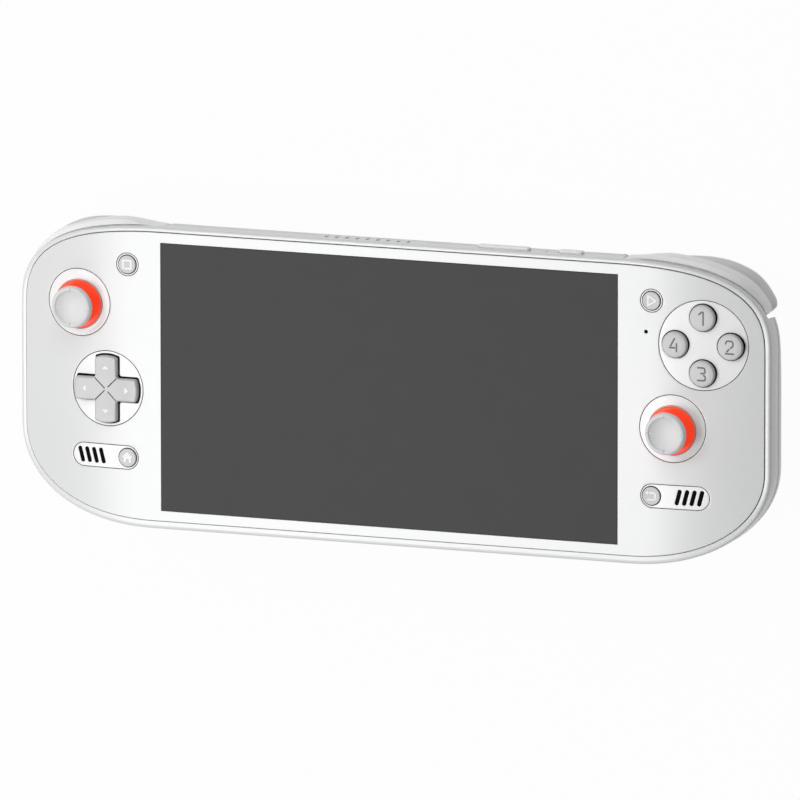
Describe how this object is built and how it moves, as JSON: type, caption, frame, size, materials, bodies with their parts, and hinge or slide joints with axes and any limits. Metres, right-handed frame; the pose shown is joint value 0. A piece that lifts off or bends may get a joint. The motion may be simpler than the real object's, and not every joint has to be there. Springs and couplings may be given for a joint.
{
  "type": "handheld game console",
  "caption": "Wide handheld game console with a large flat screen, curved wings, two sticks, a direction pad, round buttons, shoulder buttons, triggers and two grips on the back",
  "frame": {"origin": "middle of the bounding box in plan, on the table that the grips rest on", "axes": "console on its back: +X to the player's right, +Y towards the shoulder buttons, +Z out of the screen"},
  "size_m": [0.2544, 0.0994, 0.0374],
  "materials": {
    "shell": "fine matt moulding",
    "trigger": "fine matt moulding",
    "bezel": "satin",
    "button": "satin",
    "stick_cap": "matt",
    "stick_skirt": "satin",
    "light_ring": "translucent satin",
    "screen_glass": "polished, screen off",
    "panel": "dark film",
    "chassis": "stamped sheet",
    "heatsink": "bare metal",
    "steel": "bare metal",
    "dark_plastic": "moulded",
    "membrane": "silicone",
    "mesh": "woven mesh",
    "board": "solder mask",
    "battery": "wrapped pouch"
  },
  "bodies": {
    "console": {"front_shell": "shell", "mid_frame": "shell", "back_shell": "shell", "display_glass": "screen_glass", "display_panel": "panel", "chassis_plate": "chassis", "trigger_brackets": "steel", "hinge_pins": "steel", "left_trigger_spring": "steel", "right_trigger_spring": "steel", "left_stick_module": "dark_plastic", "right_stick_module": "dark_plastic", "left_light_ring": "light_ring", "right_light_ring": "light_ring", "pad_base": "dark_plastic", "pad_membrane": "membrane", "pad_bezel": "bezel", "face_button_bezel": "bezel", "face_button_membrane": "membrane", "menu_button_rings": "bezel", "left_speaker_bezel": "bezel", "right_speaker_bezel": "bezel", "speaker_meshes": "mesh", "speakers": "dark_plastic", "side_key_board": "board", "main_board": "board", "button_boards": "board", "battery": "battery", "fan_housing": "dark_plastic", "heatsink": "heatsink", "usb_c_port": "steel", "headphone_jack": "dark_plastic", "card_slot": "steel", "rumble_motors": "steel", "back_screws": "steel"},
    "left_shoulder": {"left_shoulder_button": "shell"},
    "right_shoulder": {"right_shoulder_button": "shell"},
    "left_trigger_lever": {"left_trigger": "trigger"},
    "right_trigger_lever": {"right_trigger": "trigger"},
    "left_gimbal_outer": {"left_stick_yoke": "dark_plastic"},
    "left_gimbal_inner": {"left_stick_hub": "dark_plastic"},
    "left_stick": {"left_stick_cap": "stick_cap", "left_stick_skirt": "stick_skirt"},
    "right_gimbal_outer": {"right_stick_yoke": "dark_plastic"},
    "right_gimbal_inner": {"right_stick_hub": "dark_plastic"},
    "right_stick": {"right_stick_cap": "stick_cap", "right_stick_skirt": "stick_skirt"},
    "pad_gimbal": {"pad_rocker": "dark_plastic"},
    "pad": {"direction_pad": "button"},
    "button_top": {"face_button_top": "button"},
    "button_right": {"face_button_right": "button"},
    "button_bottom": {"face_button_bottom": "button"},
    "button_left": {"face_button_left": "button"},
    "button_select": {"select_button": "button"},
    "button_start": {"start_button": "button"},
    "button_home": {"home_button": "button"},
    "button_return": {"return_button": "button"},
    "power": {"power_button": "button"},
    "volume": {"volume_rocker": "button"},
    "fan": {"fan_rotor": "dark_plastic"}
  },
  "joints": [
    {"name": "left_shoulder_press", "type": "hinge", "parent": "console", "child": "left_shoulder", "pos_m": [-0.0815, 0.04146, 0.024], "axis": [0, 0, 1], "range_deg": [0, 1.5], "stiffness_Nm_per_rad": 1, "springref_deg": -1.15},
    {"name": "right_shoulder_press", "type": "hinge", "parent": "console", "child": "right_shoulder", "pos_m": [0.0815, 0.04146, 0.024], "axis": [0, 0, -1], "range_deg": [0, 1.5], "stiffness_Nm_per_rad": 1, "springref_deg": -1.15},
    {"name": "left_trigger_pull", "type": "hinge", "parent": "console", "child": "left_trigger_lever", "pos_m": [-0.0952, 0.03216, 0.015], "axis": [-1, 0, 0], "range_deg": [0, 12], "stiffness_Nm_per_rad": 0.15, "springref_deg": -11.46, "deforming": ["left_trigger_spring"]},
    {"name": "right_trigger_pull", "type": "hinge", "parent": "console", "child": "right_trigger_lever", "pos_m": [0.0952, 0.03216, 0.015], "axis": [-1, 0, 0], "range_deg": [0, 12], "stiffness_Nm_per_rad": 0.15, "springref_deg": -11.46, "deforming": ["right_trigger_spring"]},
    {"name": "left_stick_tilt_y", "type": "hinge", "parent": "console", "child": "left_gimbal_outer", "pos_m": [-0.10575, 0.02186, 0.02554], "axis": [1, 0, 0], "range_deg": [-15, 15], "stiffness_Nm_per_rad": 0.08},
    {"name": "left_stick_tilt_x", "type": "hinge", "parent": "left_gimbal_outer", "child": "left_gimbal_inner", "pos_m": [-0.10575, 0.02186, 0.02554], "axis": [0, 1, 0], "range_deg": [-15, 15], "stiffness_Nm_per_rad": 0.08},
    {"name": "left_stick_click", "type": "slide", "parent": "left_gimbal_inner", "child": "left_stick", "axis": [0, 0, -1], "range_m": [0, 0.0004], "stiffness_N_per_m": 1500, "springref_m": -0.0004},
    {"name": "right_stick_tilt_y", "type": "hinge", "parent": "console", "child": "right_gimbal_outer", "pos_m": [0.0958, -0.00544, 0.02631], "axis": [1, 0, 0], "range_deg": [-15, 15], "stiffness_Nm_per_rad": 0.08},
    {"name": "right_stick_tilt_x", "type": "hinge", "parent": "right_gimbal_outer", "child": "right_gimbal_inner", "pos_m": [0.0958, -0.00544, 0.02631], "axis": [0, 1, 0], "range_deg": [-15, 15], "stiffness_Nm_per_rad": 0.08},
    {"name": "right_stick_click", "type": "slide", "parent": "right_gimbal_inner", "child": "right_stick", "axis": [0, 0, -1], "range_m": [0, 0.0004], "stiffness_N_per_m": 1500, "springref_m": -0.0004},
    {"name": "pad_left_right", "type": "hinge", "parent": "console", "child": "pad_gimbal", "pos_m": [-0.0958, -0.00494, 0.02541], "axis": [0, 1, 0], "range_deg": [-4, 4], "stiffness_Nm_per_rad": 0.2},
    {"name": "pad_up_down", "type": "hinge", "parent": "pad_gimbal", "child": "pad", "pos_m": [-0.0958, -0.00494, 0.02541], "axis": [1, 0, 0], "range_deg": [-4, 4], "stiffness_Nm_per_rad": 0.2},
    {"name": "button_top_press", "type": "slide", "parent": "console", "child": "button_top", "axis": [0, 0, -1], "range_m": [0, 0.0012], "stiffness_N_per_m": 400, "springref_m": -0.001},
    {"name": "button_right_press", "type": "slide", "parent": "console", "child": "button_right", "axis": [0, 0, -1], "range_m": [0, 0.0012], "stiffness_N_per_m": 400, "springref_m": -0.001},
    {"name": "button_bottom_press", "type": "slide", "parent": "console", "child": "button_bottom", "axis": [0, 0, -1], "range_m": [0, 0.0012], "stiffness_N_per_m": 400, "springref_m": -0.001},
    {"name": "button_left_press", "type": "slide", "parent": "console", "child": "button_left", "axis": [0, 0, -1], "range_m": [0, 0.0012], "stiffness_N_per_m": 400, "springref_m": -0.001},
    {"name": "button_select_press", "type": "slide", "parent": "console", "child": "button_select", "axis": [0, 0, -1], "range_m": [0, 0.0005], "stiffness_N_per_m": 1500, "springref_m": -0.0004},
    {"name": "button_start_press", "type": "slide", "parent": "console", "child": "button_start", "axis": [0, 0, -1], "range_m": [0, 0.0005], "stiffness_N_per_m": 1500, "springref_m": -0.0004},
    {"name": "button_home_press", "type": "slide", "parent": "console", "child": "button_home", "axis": [0, 0, -1], "range_m": [0, 0.0005], "stiffness_N_per_m": 1500, "springref_m": -0.0004},
    {"name": "button_return_press", "type": "slide", "parent": "console", "child": "button_return", "axis": [0, 0, -1], "range_m": [0, 0.0005], "stiffness_N_per_m": 1500, "springref_m": -0.0004},
    {"name": "power_press", "type": "slide", "parent": "console", "child": "power", "axis": [0, -1, 0], "range_m": [0, 0.0005], "stiffness_N_per_m": 1500, "springref_m": -0.0004},
    {"name": "volume_rock", "type": "hinge", "parent": "console", "child": "volume", "pos_m": [0.0375, 0.04346, 0.0248], "axis": [0, 0, 1], "range_deg": [-2, 2], "stiffness_Nm_per_rad": 0.1},
    {"name": "fan_spin", "type": "hinge", "parent": "console", "child": "fan", "pos_m": [-0.011, 0.01696, 0.02], "axis": [0, 0, 1], "continuous": true}
  ]
}
